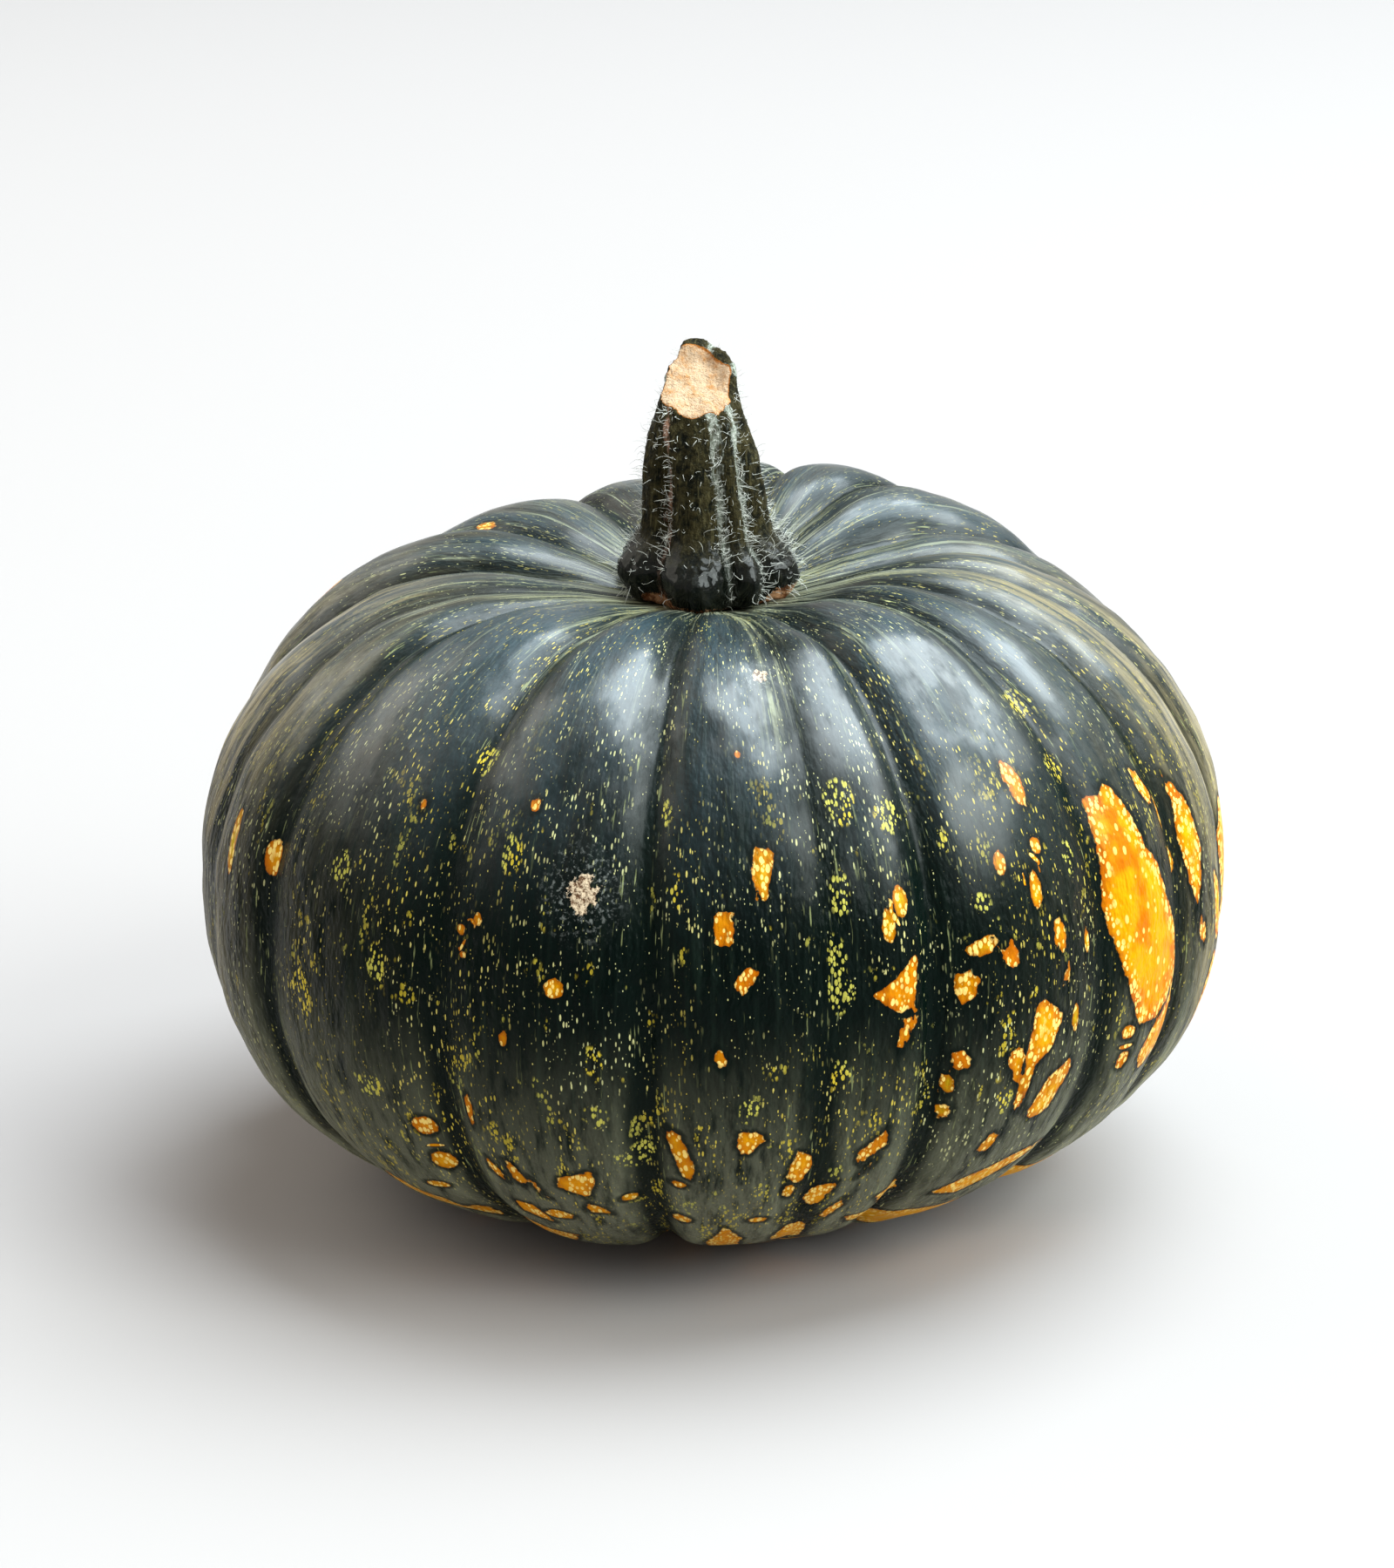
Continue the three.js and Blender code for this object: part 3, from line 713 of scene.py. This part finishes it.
# Fine uneven ridges run up the bark.
waver = np.random.default_rng(7)
ridges = np.zeros(len(rise))
for count in (9, 14, 23, 31, 44):
    phase, drift = waver.uniform(0, math.tau), waver.uniform(-0.12, 0.12)
    ridges += np.sin(np.radians(stem_turn) * count + rise * drift + phase) * 1.6 / count ** 0.5
push = ridges * 0.12 * ramp(rise, 0, 6)
below_cut = ramp(cut_depth, 1, 9)
groove_push = GROOVE_FILL_AT_CUT * (1 - below_cut) - GROOVE_DEEPENING * below_cut
push += groove_push * np.exp(-(stem_gap / STEM_GROOVE_WIDTH) ** 2) * ramp(rise, 3, 12)
for angle, level, wide, swell in KNOBS:
    aside = np.radians(gap_to([angle], stem_turn)) * stem_out
    push += swell * np.exp(-(aside ** 2 + (rise - level) ** 2) / (wide * 0.55) ** 2)
pressed_side = ramp(gap_to([PRESSED["angle"]], stem_turn), 62, 25)
push -= PRESSED["depth"] * pressed_side * ramp(cut_depth, 9, 1)
push *= ramp(stem_out, 2, 6)
outwards = across / np.hypot(across[:, 0], across[:, 1])[:, None]
stem_place[:, :2] += outwards * push[:, None] / 1000
at_lip = ramp(gap_to([LIP["angle"]], stem_turn), LIP["half_width"], LIP["half_width"] * 0.5)
stem_place[:, 2] += (LIP["height"] * at_lip * ramp(stem_out, 3.6, 5.0)
                     * ramp(cut_depth, 3.0, 0.4))
stalk.data.vertices.foreach_set("co", stem_place.ravel())

# Warts: the size of their lumps and how high.
for lump, swell in ((0.0035, 0.0007), (0.0012, 0.0003)):
    warts = bpy.data.textures.new("warts", "CLOUDS")
    warts.noise_scale = lump
    add_modifier(stalk, "DISPLACE", texture=warts, strength=swell, mid_level=0.5,
                 texture_coords="LOCAL")
alone(stalk)
bpy.ops.object.shade_smooth()

rind_tree = BVHTree.FromPolygons([vertex.co for vertex in rind.data.vertices],
                                 [face.vertices for face in rind.data.polygons])
above_rind = np.array([rind_tree.find_nearest(vertex.co)[3] for vertex in stalk.data.vertices])
cork_left = ramp(gap_to([-40], stem_turn), 20, 9)
cork_right = ramp(gap_to([82], stem_turn), 42, 22)
cork_band = np.maximum(cork_left, cork_right) * ramp(above_rind * 1000, 3.4, 0.9)
give(stalk, "rise", rise)
give(stalk, "gap", stem_gap)
bark_from = 4.5 + 2.8 * (gap_to([138], stem_turn) / 90) ** 2
give(stalk, "cut", on_cut * ramp(stem_out, bark_from + 0.4, bark_from - 0.4))
give(stalk, "pink", ramp(gap_to([-39.5], stem_turn), 25, 15))
give(stalk, "cork", cork_band + 0.5 * ramp(above_rind * 1000, 0.9, 0.3))


def bark_finish():
    finish = Finish("bark_finish")
    place = finish.node("ShaderNodeTexCoord", {}, {}, "Object")
    rise = finish.attribute("rise")
    gap = finish.attribute("gap")
    upright = finish.stretched(place, (1, 1, 0.16))
    fibres = finish.noise(upright, 0.0006, 3, 0.65)
    mottled = finish.noise(place, 0.0022, 4, 0.7)
    fine = finish.noise(place, 0.0005, 3, 0.7)
    foot = finish.step(rise, 16, 9)

    bark = finish.blend(finish.step(mottled, 0.36, 0.64), colour(0.004, 0.005, 0.003),
                        colour(0.04, 0.033, 0.013))
    bark = finish.blend(finish.step(fibres, 0.5, 0.7) * 0.45, bark, colour(0.15, 0.13, 0.06))
    bark = finish.blend(foot * 0.92, bark, colour(0.0015, 0.003, 0.0025))
    bark = finish.blend(finish.step(fine, 0.64, 0.72) * (1 - foot) * 0.3, bark,
                        colour(0.3, 0.33, 0.24))

    # Pale down lies thick in the grooves; the one at the front left is pinkish cork.
    pink = finish.attribute("pink")
    downy = finish.step(gap + (fibres - 0.5) * 3.4 + (mottled - 0.5) * 2.8 + pink * 0.3, 1.1, -0.2)
    down = finish.blend(pink, colour(0.36, 0.4, 0.33), colour(0.5, 0.26, 0.16))
    down = finish.blend(finish.step(fine, 0.45, 0.6) * 0.7, down,
                        finish.blend(pink, colour(0.8, 0.83, 0.76), colour(0.75, 0.55, 0.45)))
    bark = finish.blend(downy * (0.9 - foot * 0.7), bark, down)

    # Brown cork where the foot meets the rind.
    corky = finish.step(finish.attribute("cork") + (fine - 0.5) * 1.2, 0.35, 0.65)
    cork = finish.blend(finish.step(mottled, 0.4, 0.6), colour(0.12, 0.035, 0.01),
                        colour(0.52, 0.27, 0.14))
    bark = finish.blend(corky, bark, cork)

    # The cut: cream pith, more orange where it has dried, brown along its margin.
    pith = finish.blend(finish.step(mottled, 0.42, 0.72), colour(0.6, 0.42, 0.27),
                        colour(0.52, 0.25, 0.09))
    pith = finish.blend(finish.step(fine, 0.5, 0.7) * 0.4, pith, colour(0.68, 0.57, 0.45))
    cut = finish.attribute("cut") + (fine - 0.5) * 0.5
    margin = finish.blend(finish.step(cut, 0.5, 0.85), colour(0.36, 0.12, 0.02), pith)
    is_cut = finish.step(cut, 0.3, 0.45)
    bark = finish.blend(is_cut, bark, margin)

    above_foot = 1 - foot * 0.85
    relief = finish.bump(fine * above_foot, 0.0005, 0.8)
    relief = finish.bump(fibres * above_foot, 0.0006, 0.7, relief)
    relief = finish.bump(mottled, 0.0011, 0.6, relief)
    pits = finish.noise(upright, 0.0018, 1, 0.4)
    relief = finish.bump(pits * foot, 0.0011, 1.0, relief)
    shine = 0.55 - foot * 0.4 + (mottled - 0.5) * 0.2
    finish.wear(Base_Color=bark, Roughness=shine + is_cut * 0.4 + corky * 0.3, Normal=relief)
    finish.wear(Specular_IOR_Level=0.05, Coat_Weight=foot * 0.4, Coat_Roughness=0.03)
    return finish.material


stalk.data.materials.append(bark_finish())
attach(stalk, "root")
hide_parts("stem")


# ---------------------------------------------------------------------------------------
# The stem's hairs. Stiff white hairs, up to three millimetres long, each curled its own
# way. They stand all over the bark, closest in its grooves, and few at the front of the foot.

HAIR_COUNT = 2000
HAIR_WIDTH = 0.0001
HAIR_LENGTHS = (0.0007, 0.0027)

growth = np.random.default_rng(5)
skin = stalk.data
centres = np.array([face.center for face in skin.polygons])
facings = np.array([face.normal for face in skin.polygons])
areas = np.array([face.area for face in skin.polygons])
corner = np.array([face.vertices[0] for face in skin.polygons])
right_side = ramp(gap_to([75], stem_turn[corner]), 75, 40)
likely = areas * (0.3 + 1.7 * np.exp(-(stem_gap[corner] / STEM_GROOVE_WIDTH) ** 2)
                  + 0.4 * right_side * ramp(rise[corner], 24, 14))
front_foot = ramp(gap_to([-5], stem_turn[corner]), 60, 30) * ramp(rise[corner], 13, 8)
room = (1 - 0.9 * front_foot) * (on_cut[corner] < 0.1)
likely *= room * ramp(above_rind[corner], 0.0004, 0.0012)
roots = growth.choice(len(likely), HAIR_COUNT, p=likely / likely.sum())

lengths = growth.uniform(*HAIR_LENGTHS, HAIR_COUNT) * (0.6 + 0.4 * ramp(rise[corner[roots]], 40, 8))
drift = growth.normal(0, 0.55, (HAIR_COUNT, 3))
curl = growth.normal(0, 0.45, (HAIR_COUNT, 3))
side = np.cross(facings[roots], growth.normal(0, 1, (HAIR_COUNT, 3)))
side /= np.linalg.norm(side, axis=1)[:, None]
other = np.cross(facings[roots], side)
points = []
for share in (-0.12, 0.25, 0.55, 0.8, 1.0):
    spine = (centres[roots] + lengths[:, None]
             * (facings[roots] * share + drift * share ** 2 + curl * share * (1 - share) * 1.5))
    if share == 1.0:
        points.append(spine[:, None, :])
        break
    ring = [spine + HAIR_WIDTH / 2 * (1 - 0.5 * share)
            * (side * math.cos(turn) + other * math.sin(turn))
            for turn in (0, math.tau / 3, math.tau * 2 / 3)]
    points.append(np.stack(ring, axis=1))
hair_points = np.concatenate(points, axis=1)
per_hair = hair_points.shape[1]
pattern = [(2, 1, 0)]
for level in (0, 3, 6):
    for k in range(3):
        after = (k + 1) % 3
        pattern.append((level + k, level + after, level + 3 + after, level + 3 + k))
pattern += [(9, 10, 12), (10, 11, 12), (11, 9, 12)]
faces = [tuple(index + per_hair * hair for index in face)
         for hair in range(HAIR_COUNT) for face in pattern]
hair_mesh = bpy.data.meshes.new("stem_hairs")
hair_mesh.from_pydata(hair_points.reshape(-1, 3).tolist(), [], faces)
hairs = bpy.data.objects.new("stem_hairs", hair_mesh)
bpy.context.scene.collection.objects.link(hairs)
alone(hairs)
bpy.ops.object.shade_smooth()

hair_finish = Finish("hair_finish")
hair_place = hair_finish.node("ShaderNodeTexCoord", {}, {}, "Object")
whitish = hair_finish.blend(hair_finish.noise(hair_place, 0.003), colour(0.7, 0.7, 0.62),
                            colour(0.95, 0.97, 0.92))
hair_finish.wear(Base_Color=whitish, Roughness=0.45)
hairs.data.materials.append(hair_finish.material)
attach(hairs, "root")
